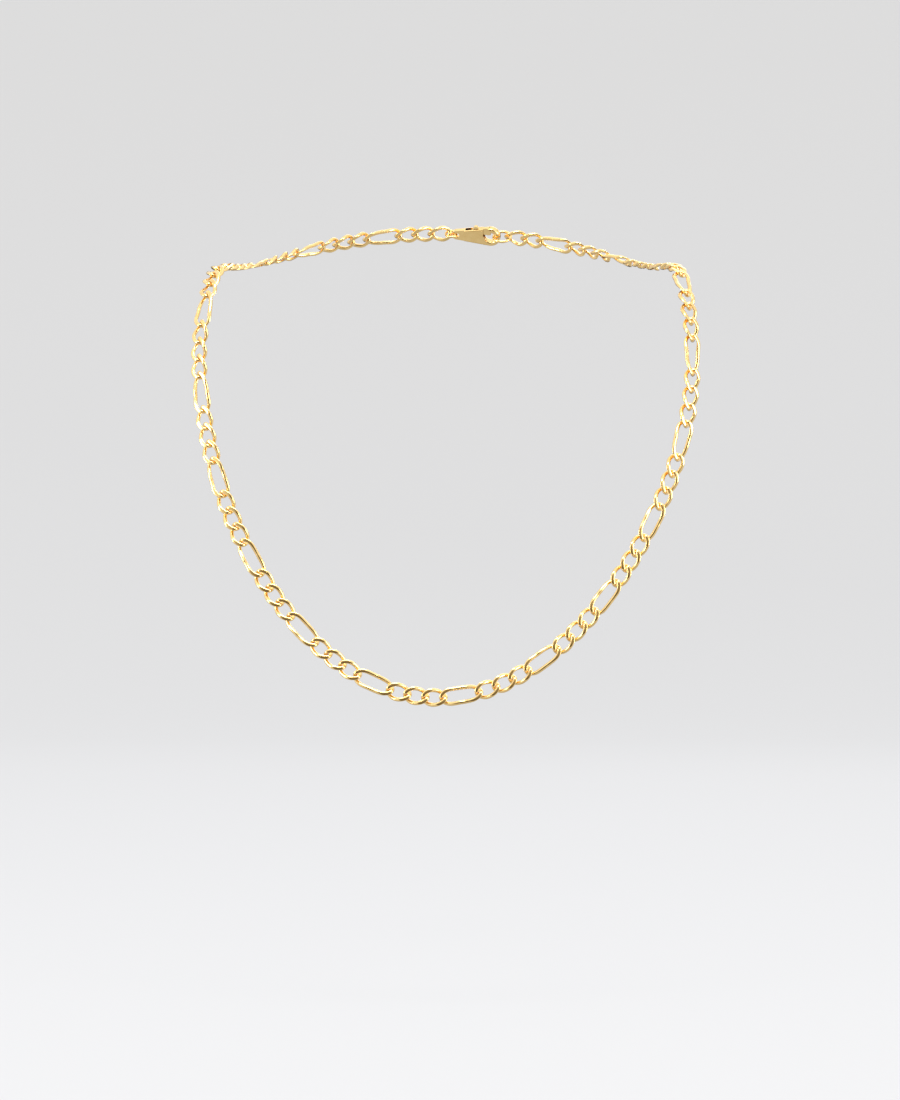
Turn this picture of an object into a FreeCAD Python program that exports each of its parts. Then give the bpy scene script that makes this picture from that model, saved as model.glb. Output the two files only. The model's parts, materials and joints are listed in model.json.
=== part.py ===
import FreeCAD, Part
import math
import os

Vector = FreeCAD.Vector

# A Figaro chain necklace: three small twisted links, then one long one, all the way round.
# Millimetres. The origin is the middle of the neck opening, level with the tops of the shoulders.
# +Z is up, +Y runs to the back of the neck, and left (-X) and right (+X) are as seen from the front.
# The front of the loop lies on the chest, and the rest over the shoulders and round the nape.

# the links: round wire, bent to an oval, twisted along its length and ground flat on both faces
WIRE = 1.3
WIDTH = 6.0
SMALL_PITCH = 5.8
LONG_PITCH = 11.5
PLAY = 0.12
END_TWIST = math.radians(47)
END_SQUARENESS = 2.5
THICKNESS = 2.1
SMALL_HALF_LENGTH = (SMALL_PITCH + PLAY + WIRE) / 2
SMALLS_IN_A_ROW = 3
SECTION_POINTS = 8

# each side's links, outwards from the lowest one: those that hang free, then those that lie on the
# wearer, of which the small ones of the first few runs are nodes of their own
HANGING = 16
SEPARATE_RUNS = 3
LEFT_RESTING = 27
RIGHT_RESTING = 22

# what the chain lies on, from the side: a chest that leans back, a round shoulder, then a slow rise
# to the nape
CHEST_LEAN = math.radians(11)
SHOULDER_RADIUS = 32.0
SHOULDER_RUN = SHOULDER_RADIUS * (math.pi / 2 - CHEST_LEAN)
NAPE_RISE_RADIUS = 110.0
NAPE_DEPTH = 55.6
NAPE_TILT = math.radians(50)

# up the chest the links turn outwards little by little, from this far below the shoulder's bend
OUTWARD_TURN = math.radians(38)
OUTWARD_START = 91.0
OUTWARD_RUN = 82.0

# the loop laid flat: x to the side, and the distance up from where the shoulder's bend begins
LOOP = [
    (-3.5, -118.5),
    (-23.1, -113.9),
    (-46.2, -96.6),
    (-63.2, -72.4),
    (-74.4, -45.2),
    (-79.8, -17.4),
    (-80.5, -3.5),
    (-79.2, 9.9),
    (-73.5, 44.1),
    (-49.0, 87.21),
    (0.0, 103.36),
    (49.0, 87.21),
    (74.5, 44.1),
    (78.8, 15.9),
    (80.4, -5.8),
    (76.9, -32.9),
    (66.9, -60.3),
    (51.5, -85.5),
    (31.3, -106.1),
]
FIRST_JUNCTION_X = -0.8

# the clasp: a ring at the right side's end, a claw that catches it, and a ring that ties the claw
# to the left side's end
END_RING_WIRE = 1.0
END_RING_BORE = 5.0
TAIL_RING_WIRE = 0.8
TAIL_RING_BORE = 3.0
TAIL_RING_ARC = 357.0
RING_PLAY = 0.3
HOOK_BORE = 4.0
HOOK_WALL = 1.6
EYE_BORE = 1.8
EYE_WALL = 0.9
CLAW_THICKNESS = 2.6
CLAW_EDGE = 0.7
HOOK_EDGE = 0.5
BEYOND_CLAW = 6.0
EYE_THICKNESS = 1.4

# inside the claw, measured from the middle of its hook, X towards its eye
PIVOT = Vector(6.2, 0.9, 0)
PIN_RADIUS = 0.45
PIN_PLAY = 0.05
HUB_RADIUS = 1.2
LEVER_REACH = 6.5
LEVER_THICKNESS = 1.1
LEVER_PLAY = 0.12
GATE_THICKNESS = 2.2
GATE_ROOT = (1.0, 0.95)
GATE_TIP = (-4.0, 1.72)
BLADE_ROOT_Y = -0.1
MOUTH_TIP = (-4.0, 0.8)
MOUTH_ROOT = (2.4, 0.4)
NUB = Vector(5.0, 3.0, 0)
NUB_RADIUS = 0.9
SLOT_START = 1.6
SLOT_END = 8.7
SLOT_FLOOR = -1.1
TAIL_START = 9.1
SPRING_THICKNESS = 0.15
SPRING_WIDTH = 0.9
SPRING_BEND = 0.12
SPRING_BEND_X = 8.0
SPRING_TIP_X = 3.6
SPRING_TIP_Y = -0.1
SPRING_LIFT = 0.02


# ---- solids from formulas ----


def smooth_poles(points):
    """The poles of the closed cubic spline that passes through these points."""
    count = len(points)
    poles = list(points)
    for _ in range(12):
        reached = [
            (poles[i - 1] + poles[i] * 4 + poles[(i + 1) % count]) / 6 for i in range(count)
        ]
        poles = [pole + (point - at) for pole, point, at in zip(poles, points, reached)]
    return poles


def closed_tube(rings):
    """A solid ring that passes through a closed row of closed sections."""
    around = len(rings)
    across = len(rings[0])
    rows = [smooth_poles(ring) for ring in rings]
    columns = [smooth_poles([rows[i][j] for i in range(around)]) for j in range(across)]
    poles = [[columns[j][i] for j in range(across)] for i in range(around)]
    surface = Part.BSplineSurface()
    surface.buildFromPolesMultsKnots(
        poles,
        [1] * (around + 1),
        [1] * (across + 1),
        list(range(around + 1)),
        list(range(across + 1)),
        True,
        True,
        3,
        3,
    )
    solid = Part.Solid(Part.Shell([surface.toShape()]))
    if solid.Volume < 0:
        solid.reverse()
    return solid


# ---- the links ----


def oval(half_length, half_width, straight, bend_points=12, rail_points=5):
    """Points round an oval with straight rails, half a squarish ellipse at each end."""
    points = []
    for side in (1, -1):
        for i in range(bend_points):
            turn = math.pi * ((i + 0.5) / bend_points - 0.5)
            ahead = math.cos(turn)
            aside = math.sin(turn)
            powers = abs(ahead) ** END_SQUARENESS + abs(aside) ** END_SQUARENESS
            swell = powers ** (-1 / END_SQUARENESS)
            x = straight / 2 + (half_length - straight / 2) * ahead * swell
            points.append(Vector(side * x, side * half_width * aside * swell, 0))
        for i in range(rail_points if straight else 0):
            x = straight * (0.5 - (i + 0.5) / rail_points)
            points.append(Vector(side * x, side * half_width, 0))
    return points


def twist_at(x, half_length):
    """The turn about a link's long axis there, one way at one end and the other way at the other.

    A small link's twist is even, and a long link's gathers as steeply at its ends."""
    gathering = half_length / SMALL_HALF_LENGTH
    turn = END_TWIST * (abs(x) / half_length) ** gathering
    return math.copysign(turn, -x)


def make_link(pitch):
    """One link, along X, with its face to +Z."""
    radius = WIRE / 2
    half_length = (pitch + PLAY) / 2 + radius
    outline = oval(half_length, WIDTH / 2 - radius, pitch - SMALL_PITCH)
    turns = [twist_at(point.x, half_length) for point in outline]
    middle = [
        Vector(point.x, point.y * math.cos(turn), point.y * math.sin(turn))
        for point, turn in zip(outline, turns)
    ]
    sections = []
    for i, centre in enumerate(middle):
        along = middle[(i + 1) % len(middle)] - middle[i - 1]
        along.normalize()
        face = Vector(0, -math.sin(turns[i]), math.cos(turns[i]))
        side = along.cross(face)
        side.normalize()
        face = side.cross(along)
        sections.append(
            [
                centre + (side * math.cos(angle) + face * math.sin(angle)) * radius
                for angle in (math.tau * j / SECTION_POINTS for j in range(SECTION_POINTS))
            ]
        )
    reach = pitch + WIDTH
    ground = Part.makeBox(2 * reach, 2 * reach, THICKNESS, Vector(-reach, -reach, -THICKNESS / 2))
    return closed_tube(sections).common(ground).Solids[0]


# ---- the route ----


def loop_curve():
    curve = Part.BSplineCurve()
    curve.interpolate(Points=[Vector(x, s, 0) for x, s in LOOP], PeriodicFlag=True)
    return curve


def folded(flat):
    """Where a point of the flat loop lies once the loop is laid over the shoulders."""
    x, s = flat.x, flat.y
    back = s - SHOULDER_RUN
    if back > 0:
        return Vector(x, back, back * back / (2 * NAPE_RISE_RADIUS))
    lean = CHEST_LEAN + max(0.0, s) / SHOULDER_RADIUS
    down = min(0.0, s)
    y = -SHOULDER_RADIUS * math.cos(lean) + down * math.sin(CHEST_LEAN)
    return Vector(x, y, SHOULDER_RADIUS * (math.sin(lean) - 1) + down * math.cos(CHEST_LEAN))


def facing(flat):
    """The way that a link's face looks there: forward and outward on the chest, up, to the back."""
    back = flat.y - SHOULDER_RUN
    if back > 0:
        turn = NAPE_TILT * min(1.0, back / NAPE_DEPTH)
        return Vector(0, math.sin(turn), math.cos(turn))
    lean = CHEST_LEAN + max(0.0, flat.y) / SHOULDER_RADIUS
    share = min(1.0, max(0.0, (flat.y + OUTWARD_START) / OUTWARD_RUN))
    outward = math.copysign(OUTWARD_TURN * share, flat.x)
    forward = math.cos(lean)
    return Vector(forward * math.sin(outward), -forward * math.cos(outward), math.sin(lean))


def next_along(curve, start, distance, sense):
    """The curve parameter of the point that lies this far, in a straight line, from the start."""
    here = folded(curve.value(start))
    probe = 0.001
    at = start
    for _ in range(40):
        ahead = folded(curve.value(at + probe))
        behind = folded(curve.value(at - probe))
        there = folded(curve.value(at))
        speed = (ahead - behind).Length / (2 * probe)
        at += sense * (distance - (there - here).Length) / speed
    return at


def placement_between(start, end, face):
    """A placement whose X runs from start to end and whose Z looks as near the face's way as it can."""
    x = end - start
    x.normalize()
    z = face - x * face.dot(x)
    z.normalize()
    y = z.cross(x)
    middle = (start + end) / 2
    columns = FreeCAD.Matrix(
        x.x, y.x, z.x, middle.x, x.y, y.y, z.y, middle.y, x.z, y.z, z.z, middle.z, 0, 0, 0, 1
    )
    return FreeCAD.Placement(columns)


def is_long(position):
    """Whether a side's link is a long one, counting from 1, outwards from the lowest link."""
    return position % (SMALLS_IN_A_ROW + 1) == 0


def lay_out_chain():
    """Each side's junctions and link placements, outwards from the lowest link, and that link's."""
    curve = loop_curve()
    low_left = curve.FirstParameter
    for _ in range(20):
        slope = (curve.value(low_left + 0.01).x - curve.value(low_left - 0.01).x) / 0.02
        low_left += (FIRST_JUNCTION_X - curve.value(low_left).x) / slope
    low_right = next_along(curve, low_left, LONG_PITCH, -1)
    sides = {}
    for side, start, count, sense in (
        ("left", low_left, HANGING + LEFT_RESTING, 1),
        ("right", low_right, HANGING + RIGHT_RESTING, -1),
    ):
        at = [start]
        for position in range(1, count + 1):
            pitch = LONG_PITCH if is_long(position) else SMALL_PITCH
            at.append(next_along(curve, at[-1], pitch, sense))
        joints = [folded(curve.value(u)) for u in at]
        links = [
            placement_between(joints[i], joints[i + 1], facing(curve.value((at[i] + at[i + 1]) / 2)))
            for i in range(count)
        ]
        sides[side] = (joints, links)
    face = facing(curve.value(low_left))
    lowest = placement_between(sides["left"][0][0], sides["right"][0][0], face)
    return sides, lowest


def placed(solid, placement):
    copy = solid.copy()
    copy.Placement = placement
    return copy


# ---- the clasp ----


def disc(centre, radius, thickness):
    return Part.makeCylinder(radius, thickness, centre - Vector(0, 0, thickness / 2))


def plate(corners, thickness):
    outline = [Vector(x, y, -thickness / 2) for x, y in corners]
    face = Part.Face(Part.makePolygon(outline + outline[:1]))
    return face.extrude(Vector(0, 0, thickness))


def block(start, end, thickness):
    """A block across the whole claw from one x to another."""
    return plate(
        [(start, -BEYOND_CLAW), (end, -BEYOND_CLAW), (end, BEYOND_CLAW), (start, BEYOND_CLAW)],
        thickness,
    )


def teardrop(span, thickness):
    """The claw's outline: a large round end at the origin, tapering to a small one."""
    large = HOOK_BORE / 2 + HOOK_WALL
    small = EYE_BORE / 2 + EYE_WALL
    lean = math.asin((large - small) / span)
    slope = Vector(math.sin(lean), math.cos(lean), 0)
    mirrored = Vector(slope.x, -slope.y, 0)
    tip = Vector(span, 0, 0)
    edges = [
        Part.LineSegment(slope * large, tip + slope * small),
        Part.Arc(tip + slope * small, tip + Vector(small, 0, 0), tip + mirrored * small),
        Part.LineSegment(tip + mirrored * small, mirrored * large),
        Part.Arc(mirrored * large, Vector(-large, 0, 0), slope * large),
    ]
    face = Part.Face(Part.Wire([edge.toShape() for edge in edges]))
    face.translate(Vector(0, 0, -thickness / 2))
    return face.extrude(Vector(0, 0, thickness))


def rounded_rims(solid, radius):
    """The solid with its top and bottom outer edges rounded."""
    rims = [edge for edge in solid.Edges if edge.BoundBox.ZLength < 1e-6]
    return solid.makeFillet(radius, rims)


def above(tip, root, thickness):
    """A plate over the claw's outer side, whose lower edge runs from tip to root."""
    (tip_x, tip_y), (root_x, root_y) = tip, root
    corners = [(tip_x, tip_y), (root_x, root_y), (root_x, BEYOND_CLAW), (tip_x, BEYOND_CLAW)]
    return plate(corners, thickness)


def make_claw_body(span):
    through = 2 * CLAW_THICKNESS
    body = rounded_rims(teardrop(span, CLAW_THICKNESS), CLAW_EDGE)
    body = body.cut(disc(Vector(0, 0, 0), HOOK_BORE / 2, through))
    flat = [edge for edge in body.Edges if edge.BoundBox.ZLength < 1e-6]
    bore_rims = [edge for edge in flat if edge.BoundBox.XLength < 1.01 * HOOK_BORE]
    bore_rims = [edge for edge in bore_rims if edge.CenterOfMass.Length < CLAW_THICKNESS]
    body = body.makeFillet(HOOK_EDGE, bore_rims)
    tail = block(TAIL_START, span + BEYOND_CLAW, through)
    tail_core = block(0, span + BEYOND_CLAW, EYE_THICKNESS)
    slot_height = LEVER_THICKNESS + 2 * LEVER_PLAY
    slot = Part.makeBox(
        SLOT_END - SLOT_START,
        BEYOND_CLAW,
        slot_height,
        Vector(SLOT_START, SLOT_FLOOR, -slot_height / 2),
    )
    mouth = above(MOUTH_TIP, MOUTH_ROOT, through)
    for tool in (
        disc(Vector(span, 0, 0), EYE_BORE / 2, through),
        tail.cut(tail_core),
        mouth.common(disc(PIVOT, LEVER_REACH + LEVER_PLAY, through)),
        slot,
        disc(PIVOT, PIN_RADIUS, through),
    ):
        body = body.cut(tool)
    return body.Solids[0]


def make_lever(span):
    """A flat lever on the pin, thickened into a gate across the claw's mouth, with a thumb nub."""
    outline = rounded_rims(teardrop(span, GATE_THICKNESS), CLAW_EDGE)
    blade = above(GATE_TIP, (PIVOT.x, BLADE_ROOT_Y), LEVER_THICKNESS)
    blade = blade.common(teardrop(span, LEVER_THICKNESS)).fuse(disc(PIVOT, HUB_RADIUS, LEVER_THICKNESS))
    gate = above(GATE_TIP, GATE_ROOT, GATE_THICKNESS)
    nub = disc(NUB, NUB_RADIUS, LEVER_THICKNESS)
    lever = blade.fuse([gate.common(outline), nub])
    lever = lever.common(disc(PIVOT, LEVER_REACH, GATE_THICKNESS)).removeSplitter()
    return lever.cut(disc(PIVOT, PIN_RADIUS + PIN_PLAY, 2 * GATE_THICKNESS)).Solids[0]


def strip(start, end):
    """A straight run of the spring's strip, with its middle line from start to end."""
    along = end - start
    run = Part.makeBox(along.Length, SPRING_THICKNESS, SPRING_WIDTH)
    run.translate(Vector(0, -SPRING_THICKNESS / 2, -SPRING_WIDTH / 2))
    run.rotate(Vector(0, 0, 0), Vector(0, 0, 1), math.degrees(math.atan2(along.y, along.x)))
    run.translate(start)
    return run


def make_spring():
    """A hairpin of spring strip: one leg on the slot's floor, the other under the lever's blade."""
    middle = SPRING_BEND + SPRING_THICKNESS / 2
    bend = Vector(SPRING_BEND_X, SLOT_FLOOR + SPRING_LIFT + SPRING_THICKNESS / 2 + middle, 0)
    loop = disc(bend, middle + SPRING_THICKNESS / 2, SPRING_WIDTH)
    loop = loop.cut(disc(bend, middle - SPRING_THICKNESS / 2, SPRING_WIDTH))
    loop = loop.cut(block(0, bend.x, 2 * SPRING_WIDTH))
    lower = strip(bend - Vector(0, middle, 0), Vector(SPRING_TIP_X, bend.y - middle, 0))
    upper = strip(bend + Vector(0, middle, 0), Vector(SPRING_TIP_X, SPRING_TIP_Y, 0))
    return loop.fuse([lower, upper]).removeSplitter().Solids[0]


def make_ring(bore, wire, arc=360.0):
    """A round ring that stands edge on to the chain's face."""
    radius = (bore + wire) / 2
    return Part.makeTorus(radius, wire / 2, Vector(0, 0, 0), Vector(0, 1, 0), -180, 180, arc)


def lay_out_clasp(start, end):
    """Where the clasp's pieces go along the gap from the right side's end to the left side's."""
    gap = (end - start).Length
    face = Vector(0, math.sin(NAPE_TILT), math.cos(NAPE_TILT))
    frame = placement_between(start, end, face)
    end_ring = END_RING_BORE / 2 - RING_PLAY
    hook = END_RING_BORE - 2 * RING_PLAY + HOOK_BORE / 2
    tail_ring = gap - TAIL_RING_BORE / 2 + RING_PLAY
    eye = gap - TAIL_RING_BORE + 2 * RING_PLAY - EYE_BORE / 2
    at = {
        name: frame.multiply(FreeCAD.Placement(Vector(x - gap / 2, 0, 0), FreeCAD.Rotation()))
        for name, x in (("end_ring", end_ring), ("claw", hook), ("tail_ring", tail_ring))
    }
    return at, eye - hook


# ---- the nodes ----


def hanging_nodes(sides, lowest, links):
    nodes = {"lowest_long_link": placed(links["long"], lowest)}
    for side, (_, placements) in sides.items():
        for position in range(1, HANGING + 1):
            kind = "long" if is_long(position) else "small"
            name = f"{side}_{kind}_link_{position:02d}"
            nodes[name] = placed(links[kind], placements[position - 1])
    return nodes


def resting_nodes(sides, links):
    """Each long link is a node, and so is each run of small ones until they pass the shoulder."""
    nodes = {}
    for side, (_, placements) in sides.items():
        for position in range(HANGING + 1, len(placements) + 1):
            run = (position - HANGING - 1) // (SMALLS_IN_A_ROW + 1) + 1
            kind = "long" if is_long(position) else "small"
            if kind == "long":
                name = f"{side}_resting_long_link_{run}"
            elif run <= SEPARATE_RUNS:
                name = f"{side}_resting_small_links_{run}"
            else:
                name = f"{side}_nape_small_links"
            nodes.setdefault(name, []).append(placed(links[kind], placements[position - 1]))
    return {name: Part.makeCompound(solids) for name, solids in nodes.items()}


def clasp_nodes(sides):
    at, span = lay_out_clasp(sides["right"][0][-1], sides["left"][0][-1])
    pin = disc(PIVOT, PIN_RADIUS, CLAW_THICKNESS)
    return {
        "clasp_end_ring": placed(make_ring(END_RING_BORE, END_RING_WIRE), at["end_ring"]),
        "clasp_claw_body": placed(make_claw_body(span), at["claw"]),
        "clasp_lever": placed(make_lever(span), at["claw"]),
        "clasp_lever_pin": placed(pin, at["claw"]),
        "clasp_lever_spring": placed(make_spring(), at["claw"]),
        "clasp_tail_ring": placed(
            make_ring(TAIL_RING_BORE, TAIL_RING_WIRE, TAIL_RING_ARC), at["tail_ring"]
        ),
    }


def main():
    sides, lowest = lay_out_chain()
    links = {"small": make_link(SMALL_PITCH), "long": make_link(LONG_PITCH)}
    nodes = hanging_nodes(sides, lowest, links)
    nodes.update(resting_nodes(sides, links))
    nodes.update(clasp_nodes(sides))
    os.makedirs("parts", exist_ok=True)
    for name, shape in nodes.items():
        shape.exportStep(f"parts/{name}.step")


if __name__ == "__main__":
    main()
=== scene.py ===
import json
import math

import bpy
import numpy as np
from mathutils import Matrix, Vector


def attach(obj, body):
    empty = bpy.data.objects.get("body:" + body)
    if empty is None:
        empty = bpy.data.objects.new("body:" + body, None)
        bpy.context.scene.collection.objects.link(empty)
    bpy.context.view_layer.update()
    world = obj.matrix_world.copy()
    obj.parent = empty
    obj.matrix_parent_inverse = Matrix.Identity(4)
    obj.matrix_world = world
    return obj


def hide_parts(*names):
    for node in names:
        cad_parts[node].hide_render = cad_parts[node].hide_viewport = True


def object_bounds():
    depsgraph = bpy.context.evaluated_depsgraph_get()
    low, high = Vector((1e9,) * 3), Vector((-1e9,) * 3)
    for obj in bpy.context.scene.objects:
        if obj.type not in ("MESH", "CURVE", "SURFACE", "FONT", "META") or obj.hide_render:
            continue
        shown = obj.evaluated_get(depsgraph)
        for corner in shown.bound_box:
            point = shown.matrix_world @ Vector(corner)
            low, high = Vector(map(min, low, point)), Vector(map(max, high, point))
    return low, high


# A polished gold Figaro chain necklace, shown as it is worn, in a pale studio. Metres.

MM = 0.001

# the links' wire, how far the oval's end reaches along a link, and the twist at its tip
WIRE_RADIUS = 0.65 * MM
END_REACH = 3.61 * MM
END_TWIST = math.radians(47)

# the power of the superellipse at the oval's ends: 2 is round, and more is squarer
END_SQUARENESS = 2.5

# the same kind of power where a ground face meets the round wire: more is less worn
EDGE_SHARPNESS = 3.2

# the links' mesh: points round the wire, and the steps along it
POINTS_ACROSS = 44
POINT_SPACING = 0.21 * MM
END_STEPS = 400

# vertices of the CAD model closer than this are one
SAME_PLACE = 0.001 * MM

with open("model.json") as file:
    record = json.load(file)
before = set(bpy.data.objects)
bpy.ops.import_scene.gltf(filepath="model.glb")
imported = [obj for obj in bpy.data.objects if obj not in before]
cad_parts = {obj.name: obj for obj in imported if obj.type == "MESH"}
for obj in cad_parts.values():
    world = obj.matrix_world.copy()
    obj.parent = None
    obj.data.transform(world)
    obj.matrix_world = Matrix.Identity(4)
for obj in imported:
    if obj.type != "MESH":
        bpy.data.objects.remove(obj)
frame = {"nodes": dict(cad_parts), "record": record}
cad_low, cad_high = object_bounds()
NODES = frame["nodes"]
BODIES = frame["record"]["behaviour"]["bodies"]
MIDDLE = (cad_low + cad_high) / 2


# ---- where each link lies, read from the CAD model ----


def corners_of(node):
    """A node's vertices, and its triangles as rows of three vertex numbers."""
    mesh = NODES[node].data
    points = np.zeros(len(mesh.vertices) * 3)
    mesh.vertices.foreach_get("co", points)
    mesh.calc_loop_triangles()
    triangles = np.zeros(len(mesh.loop_triangles) * 3, dtype=int)
    mesh.loop_triangles.foreach_get("vertices", triangles)
    return points.reshape(-1, 3), triangles.reshape(-1, 3)


def separate_shells(points, triangles):
    """The triangles of each closed shell, where vertices at the same place count as one."""
    _, place = np.unique(np.round(points / SAME_PLACE), axis=0, return_inverse=True)
    joined = place.reshape(-1)[triangles]
    label = np.arange(joined.max() + 1)
    while True:
        lowest = label[joined].min(axis=1)
        new = label.copy()
        for corner in range(3):
            np.minimum.at(new, joined[:, corner], lowest)
        new = new[new]
        if (new == label).all():
            break
        label = new
    owner = label[joined[:, 0]]
    return [triangles[owner == name] for name in np.unique(owner)]


def link_placement(points, triangles):
    """The middle, axes and half sizes of one link: its length, its width and its thickness."""
    a, b, c = (points[triangles[:, corner]] for corner in range(3))
    area = np.linalg.norm(np.cross(b - a, c - a), axis=1)
    centre = ((a + b + c) / 3 * area[:, None]).sum(axis=0) / area.sum()
    a, b, c = a - centre, b - centre, c - centre
    spread = np.zeros((3, 3))
    for p, q, weight in ((a, a, 1), (b, b, 1), (c, c, 1), (a + b + c, a + b + c, 1)):
        spread += weight * np.einsum("ti,tj,t->ij", p, q, area)
    _, axes = np.linalg.eigh(spread)
    along, across = axes[:, 2], axes[:, 1]
    axes = np.array([along, across, np.cross(along, across)])
    local = (points[np.unique(triangles)] - centre) @ axes.T
    half = (local.max(axis=0) - local.min(axis=0)) / 2
    return centre, axes, half


# ---- the links ----


def oval_line(half_length, half_width):
    """Evenly spaced points along the middle of a link's wire, before it is twisted."""
    turn = np.linspace(-math.pi / 2, math.pi / 2, END_STEPS)
    straight = half_length - END_REACH
    powers = np.abs(np.cos(turn)) ** END_SQUARENESS + np.abs(np.sin(turn)) ** END_SQUARENESS
    reach = powers ** (-1 / END_SQUARENESS)
    x = straight + END_REACH * np.cos(turn) * reach
    end = np.stack([x, half_width * np.sin(turn) * reach], axis=1)
    line = np.concatenate([end, -end, end[:1]])
    step = np.linalg.norm(np.diff(line, axis=0), axis=1)
    travelled = np.concatenate([[0], np.cumsum(step)])
    count = 4 * round(travelled[-1] / POINT_SPACING / 4)
    stops = np.arange(count) * travelled[-1] / count
    return np.stack([np.interp(stops, travelled, line[:, k]) for k in range(2)], axis=1)


def unit(rows):
    """Each row as a vector of length 1."""
    return rows / np.linalg.norm(rows, axis=1)[:, None]


def link_surface(half_length, half_width, half_thickness):
    """Rings of points round a twisted oval of round wire, ground flat above and below.

    The edges of the ground faces are slightly worn. With the points comes how much each of them
    belongs to a ground face, from 0 to 1."""
    flat = oval_line(half_length - WIRE_RADIUS, half_width - WIRE_RADIUS)
    share = flat[:, 0] / (half_length - WIRE_RADIUS)
    gathering = (half_length - WIRE_RADIUS) / END_REACH
    turn = -END_TWIST * np.sign(share) * np.abs(share) ** gathering
    middle = np.stack([flat[:, 0], flat[:, 1] * np.cos(turn), flat[:, 1] * np.sin(turn)], axis=1)
    along = unit(np.roll(middle, -1, axis=0) - np.roll(middle, 1, axis=0))
    face = np.stack([np.zeros(len(turn)), -np.sin(turn), np.cos(turn)], axis=1)
    side = unit(np.cross(along, face))
    face = np.cross(side, along)
    angle = np.arange(POINTS_ACROSS) * 2 * math.pi / POINTS_ACROSS
    ray = (
        np.cos(angle)[None, :, None] * side[:, None, :]
        + np.sin(angle)[None, :, None] * face[:, None, :]
    )
    steepness = np.hypot(side[:, 2], face[:, 2])
    uphill = (side * side[:, 2:] + face * face[:, 2:]) / steepness[:, None]
    to_top = (half_thickness - middle[:, 2]) / steepness
    to_bottom = (half_thickness + middle[:, 2]) / steepness
    shift = (np.minimum(to_top, WIRE_RADIUS) - np.minimum(to_bottom, WIRE_RADIUS)) / 2
    climb = np.einsum("ikc,ic->ik", ray, uphill)
    shift, to_top, to_bottom = shift[:, None], to_top[:, None], to_bottom[:, None]
    to_rim = np.sqrt(WIRE_RADIUS**2 - shift**2 * (1 - climb**2)) - shift * climb
    round_part = (1 / to_rim) ** EDGE_SHARPNESS
    ground_part = (np.maximum(climb, 0) / (to_top - shift)) ** EDGE_SHARPNESS
    ground_part += (np.maximum(-climb, 0) / (to_bottom + shift)) ** EDGE_SHARPNESS
    reach = (round_part + ground_part) ** (-1 / EDGE_SHARPNESS)
    start = middle + uphill * shift
    return start[:, None, :] + ray * reach[:, :, None], ground_part / (round_part + ground_part)


def ring_faces(around, across, first):
    """The quads between neighbouring rings of a closed tube."""
    i, j = np.meshgrid(np.arange(around), np.arange(across), indexing="ij")
    i_next, j_next = (i + 1) % around, (j + 1) % across
    corners = (i * across + j, i_next * across + j, i_next * across + j_next, i * across + j_next)
    return np.stack(corners, axis=-1).reshape(-1, 4) + first


def make_links(node, body, material):
    """One piece with all of a node's links, in the place of their CAD solids."""
    points, triangles = corners_of(node)
    vertices, faces, local, ground = [], [], [], []
    first = 0
    for shell in separate_shells(points, triangles):
        centre, axes, half = link_placement(points, shell)
        surface, flatness = link_surface(*half)
        around, across, _ = surface.shape
        local.append(surface.reshape(-1, 3))
        ground.append(flatness.reshape(-1))
        vertices.append(local[-1] @ axes + centre)
        faces.append(ring_faces(around, across, first))
        first += around * across
    mesh = bpy.data.meshes.new(node + "_polished")
    mesh.from_pydata(np.concatenate(vertices).tolist(), [], np.concatenate(faces).tolist())
    mesh.shade_smooth()
    for name, kind, key, values in (
        ("place_on_link", "FLOAT_VECTOR", "vector", local),
        ("ground", "FLOAT", "value", ground),
    ):
        attribute = mesh.attributes.new(name, kind, "POINT")
        attribute.data.foreach_set(key, np.concatenate(values).astype(np.float32).ravel())
    mesh.materials.append(material)
    piece = bpy.data.objects.new(node + "_polished", mesh)
    bpy.context.scene.collection.objects.link(piece)
    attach(piece, body)
    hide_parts(node)
    return piece


# ---- materials ----

GOLD = (0.95, 0.65, 0.25, 1)
GOLD_REDDER = (0.90, 0.59, 0.205, 1)
REDDER_SHARE = (-0.6, 1.4)
GOLD_ROUGHNESS = (0.07, 0.19)
GROUND_ROUGHNESS = 0.06
STEEL = (0.56, 0.55, 0.54, 1)
STEEL_ROUGHNESS = (0.2, 0.4)

# how fine each pattern is, per metre, along x, y and z where it is stretched
PATCHES = 420
WAVES = 700
SCRATCHES = (9000, 700, 4000)
SCRATCH_TURNS = (0.4, 1.5, 2.7)
GRAIN = (900, 12000, 900)
ROLLED_LINES = (500, 9000, 9000)

# how deep each pattern's bumps are
WAVE_DEPTH = 0.014 * MM
SCRATCH_DEPTH = 0.006 * MM
GRAIN_DEPTH = 0.003 * MM
ROLLED_DEPTH = 0.002 * MM


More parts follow.
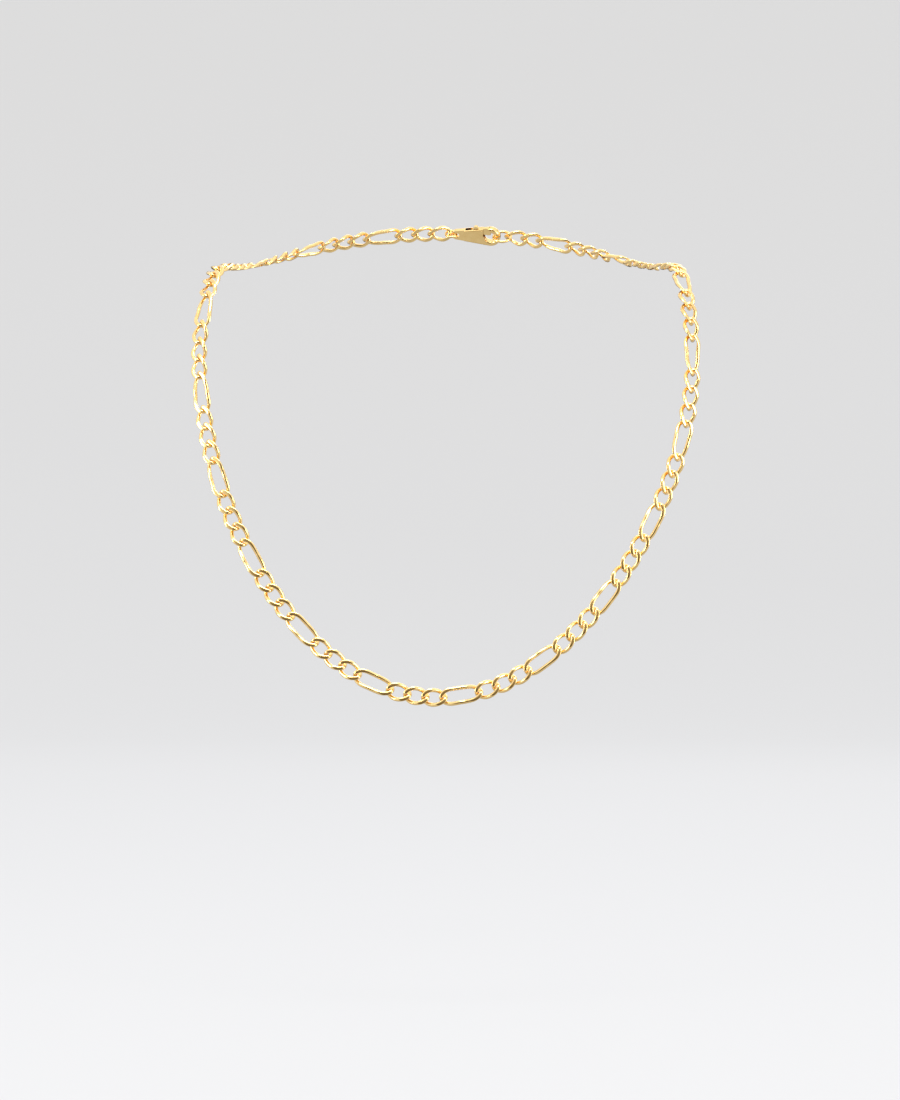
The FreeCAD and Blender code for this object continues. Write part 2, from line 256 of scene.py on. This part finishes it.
class Nodes:
    """The node tree of a material or a world, with a short way to add a node and wire it."""

    def __init__(self, owner):
        owner.use_nodes = True
        self.owner = owner
        self.tree = owner.node_tree
        self.tree.nodes.clear()

    def add(self, kind, settings=None, **inputs):
        """A new node. An input is a number, a colour or another node's socket.

        n0, n1 and so on are inputs by their number."""
        node = self.tree.nodes.new(kind)
        for key, value in (settings or {}).items():
            setattr(node, key, value)
        for key, value in inputs.items():
            if key[0] == "n" and key[1:].isdigit():
                socket = node.inputs[int(key[1:])]
            else:
                socket = node.inputs[key.replace("_", " ")]
            if isinstance(value, bpy.types.NodeSocket):
                self.tree.links.new(value, socket)
            else:
                socket.default_value = value
        return node

    def math(self, operation, first, second):
        return self.add("ShaderNodeMath", {"operation": operation}, n0=first, n1=second).outputs[0]

    def mix(self, share, first, second):
        """One colour at share 0, the other at share 1."""
        node = self.add("ShaderNodeMix", {"data_type": "RGBA"}, Factor=share, n6=first, n7=second)
        return node.outputs[2]

    def noise(self, where, scale, detail):
        return self.add("ShaderNodeTexNoise", Vector=where, Scale=scale, Detail=detail).outputs[0]

    def stretched_noise(self, where, scales, detail, turn=0.0):
        """Noise with a scale of its own along each axis, turned to lie askew."""
        placed = self.add(
            "ShaderNodeMapping", Vector=where, Rotation=(turn, turn / 2, turn), Scale=scales
        )
        return self.noise(placed.outputs[0], 1.0, detail)

    def between(self, value, low, high, start=0.0, end=1.0, curve="LINEAR"):
        """A value that runs from start to end, brought between low and high."""
        node = self.add(
            "ShaderNodeMapRange",
            {"interpolation_type": curve},
            Value=value,
            From_Min=start,
            From_Max=end,
            To_Min=low,
            To_Max=high,
        )
        return node.outputs[0]

    def bumps(self, patterns):
        """The surface's direction with each of the patterns, a height and a depth, pressed in."""
        normal = {}
        for height, depth in patterns:
            bump = self.add("ShaderNodeBump", Height=height, Distance=depth, Strength=1.0, **normal)
            normal = {"Normal": bump.outputs[0]}
        return bump.outputs[0]

    def metal(self, colour, roughness, normal):
        """Ends a material: bare metal. Gives back the material."""
        shader = self.add(
            "ShaderNodeBsdfPrincipled",
            Base_Color=colour,
            Metallic=1.0,
            Roughness=roughness,
            Normal=normal,
        )
        self.add("ShaderNodeOutputMaterial", Surface=shader.outputs[0])
        return self.owner


def gold_material(name, place, ground):
    """Polished gold: hand-finished, so never quite even, with fine scratches in all directions.

    place and ground name attributes of the mesh: a point's place on its own link, and its share
    of a ground face. Without them the object's own space is used, and nothing is ground."""
    tree = Nodes(bpy.data.materials.new(name))
    body = tree.add("ShaderNodeTexCoord").outputs["Object"]
    where = body
    if place:
        where = tree.add("ShaderNodeAttribute", {"attribute_name": place}).outputs["Vector"]
    patches = tree.noise(body, PATCHES, 3.0)
    waves = tree.noise(body, WAVES, 2.0)
    scratches = [tree.stretched_noise(where, SCRATCHES, 2.0, turn) for turn in SCRATCH_TURNS]
    fine = tree.math("MULTIPLY", scratches[0], scratches[1])
    fine = tree.math("MULTIPLY", fine, scratches[2])
    colour = tree.mix(tree.between(patches, *REDDER_SHARE), GOLD, GOLD_REDDER)
    roughness = tree.between(patches, *GOLD_ROUGHNESS)
    patterns = [(waves, WAVE_DEPTH), (fine, SCRATCH_DEPTH)]
    if ground:
        flat = tree.add("ShaderNodeAttribute", {"attribute_name": ground}).outputs["Fac"]
        grain = tree.stretched_noise(where, GRAIN, 3.0)
        patterns.append((tree.math("MULTIPLY", grain, flat), GRAIN_DEPTH))
        dulled = tree.math("MULTIPLY", flat, GROUND_ROUGHNESS)
        roughness = tree.math("ADD", roughness, dulled)
    return tree.metal(colour, roughness, tree.bumps(patterns))


def steel_material(name):
    """Spring strip, with the fine lines of its rolling."""
    tree = Nodes(bpy.data.materials.new(name))
    where = tree.add("ShaderNodeTexCoord").outputs["Object"]
    lines = tree.stretched_noise(where, ROLLED_LINES, 3.0)
    roughness = tree.between(lines, *STEEL_ROUGHNESS)
    return tree.metal(STEEL, roughness, tree.bumps([(lines, ROLLED_DEPTH)]))


# ---- studio ----

# the floor: a disc this far below the chain that bends up into a round wall
FLOOR_DROP = 0.10
FLOOR_RADIUS = 2.2
WALL_BEND = 0.6
WALL_HEIGHT = 2.0
BEND_STEPS = 12
FLOOR_STEPS_AROUND = 96

# its paper glows by itself, so that it looks evenly pale
PAPER = (0.14, 0.139, 0.137, 1)
PAPER_GLOW = (1.0, 0.992, 0.98, 1)
PAPER_GLOW_STRENGTH = 0.56
PAPER_ROUGHNESS = 0.9

# the air: dim and warm in front and behind, daylight in a ring between them. The ring is full
# where a direction's y is under RING_FULL, and gone where it is over RING_GONE
DIM_ROOM = (1, 0.82, 0.55, 1)
DAYLIGHT = (0.94, 1.0, 1.16, 1)
RING_GONE = 0.985
RING_FULL = 0.76
AIR_STRENGTH = (0.14, 1.25)
BELOW_AND_ABOVE = (0.55, 1.25)
CLOUD_SCALE = 3.0
CLOUD_EDGES = (0.3, 0.7)
CLOUD_STRENGTH = (0.6, 1.2)

# each softbox's name, place, width and height, and watts
SOFTBOXES = (
    ("left_softbox", (-1.1, -0.5, 0.1), (0.3, 0.7), 8),
    ("right_softbox", (1.1, -0.6, 0.1), (0.3, 0.7), 7),
    ("top_softbox", (0, -0.7, 1.0), (0.7, 0.35), 13),
    ("back_softbox", (0.4, 1.3, 0.8), (1.3, 0.9), 6),
)


def make_floor():
    """A round pale floor that sweeps up into a wall all the way round."""
    floor_height = cad_low.z - FLOOR_DROP
    flat_radius = FLOOR_RADIUS - WALL_BEND
    profile = [(0.0, 0.0), (flat_radius, 0.0)]
    for i in range(1, BEND_STEPS + 1):
        turn = math.pi / 2 * i / BEND_STEPS
        out, up = WALL_BEND * math.sin(turn), WALL_BEND * (1 - math.cos(turn))
        profile.append((flat_radius + out, up))
    profile.append((FLOOR_RADIUS, WALL_HEIGHT))
    around = FLOOR_STEPS_AROUND
    vertices, faces = [], []
    for radius, height in profile:
        for i in range(around):
            turn = 2 * math.pi * i / around
            x, y = radius * math.cos(turn), radius * math.sin(turn)
            vertices.append((x, y, height + floor_height))
    for k in range(len(profile) - 1):
        inner, outer = k * around, (k + 1) * around
        for i in range(around):
            j = (i + 1) % around
            faces.append((inner + i, inner + j, outer + j, outer + i))
    mesh = bpy.data.meshes.new("studio_floor")
    mesh.from_pydata(vertices, [], faces)
    mesh.shade_smooth()
    paper = Nodes(bpy.data.materials.new("pale_paper"))
    shader = paper.add(
        "ShaderNodeBsdfPrincipled",
        Base_Color=PAPER,
        Roughness=PAPER_ROUGHNESS,
        Emission_Color=PAPER_GLOW,
        Emission_Strength=PAPER_GLOW_STRENGTH,
    )
    paper.add("ShaderNodeOutputMaterial", Surface=shader.outputs[0])
    mesh.materials.append(paper.owner)
    floor = bpy.data.objects.new("studio_floor", mesh)
    floor.visible_glossy = False
    bpy.context.scene.collection.objects.link(floor)


def make_air():
    """What the metal mirrors: a bright ring overhead, beside and below, dim before and behind."""
    tree = Nodes(bpy.data.worlds.new("studio_air"))
    direction = tree.add("ShaderNodeTexCoord").outputs["Generated"]
    parts = tree.add("ShaderNodeSeparateXYZ", Vector=direction).outputs
    facing = tree.add("ShaderNodeMath", {"operation": "ABSOLUTE"}, n0=parts["Y"]).outputs[0]
    ring = tree.between(facing, *AIR_STRENGTH, RING_GONE, RING_FULL, "SMOOTHSTEP")
    sky = tree.between(parts["Z"], *BELOW_AND_ABOVE, -1.0, 1.0)
    clouds = tree.noise(direction, CLOUD_SCALE, 2.0)
    uneven = tree.between(clouds, *CLOUD_STRENGTH, *CLOUD_EDGES)
    strength = tree.math("MULTIPLY", tree.math("MULTIPLY", ring, sky), uneven)
    colour = tree.mix(ring, DIM_ROOM, DAYLIGHT)
    background = tree.add("ShaderNodeBackground", Color=colour, Strength=strength)
    tree.add("ShaderNodeOutputWorld", Surface=background.outputs[0])
    bpy.context.scene.world = tree.owner


def make_lights():
    """The softboxes, each turned to the chain's middle."""
    for name, place, (width, height), power in SOFTBOXES:
        data = bpy.data.lights.new(name, "AREA")
        data.shape = "RECTANGLE"
        data.size, data.size_y = width, height
        data.energy = power
        light = bpy.data.objects.new(name, data)
        light.location = place
        light.rotation_euler = (MIDDLE - Vector(place)).to_track_quat("-Z", "Y").to_euler()
        light.visible_camera = False
        bpy.context.scene.collection.objects.link(light)


# ---- camera ----

# the camera stands this far in front of the chain's front, where its view is this tall
CAMERA_PLACE = (0.0013, -1.25, -0.0949)
CAMERA_DISTANCE = 1.2
VIEW_HEIGHT = 0.3533
SENSOR = 36.0
NEAREST_SEEN, FARTHEST_SEEN = 0.01, 20


def make_camera():
    """Level, a little below the chain's middle, looking straight at the front."""
    data = bpy.data.cameras.new("camera")
    data.sensor_width = SENSOR
    data.lens = SENSOR * CAMERA_DISTANCE / VIEW_HEIGHT
    data.clip_start, data.clip_end = NEAREST_SEEN, FARTHEST_SEEN
    camera = bpy.data.objects.new("camera", data)
    camera.location = CAMERA_PLACE
    camera.rotation_euler = (math.pi / 2, 0, 0)
    bpy.context.scene.collection.objects.link(camera)
    bpy.context.scene.camera = camera


# ---- the scene ----

links_gold = gold_material("links_polished_gold", "place_on_link", "ground")
clasp_gold = gold_material("clasp_polished_gold", None, None)
spring_steel = steel_material("clasp_spring_steel")
for body, members in BODIES.items():
    for node in members:
        if "link" in node:
            make_links(node, body, links_gold)
        else:
            for material_slot in NODES[node].material_slots:
                material_slot.material = spring_steel if "spring" in node else clasp_gold
make_floor()
make_air()
make_lights()
make_camera()
bpy.context.scene.view_settings.view_transform = "Standard"
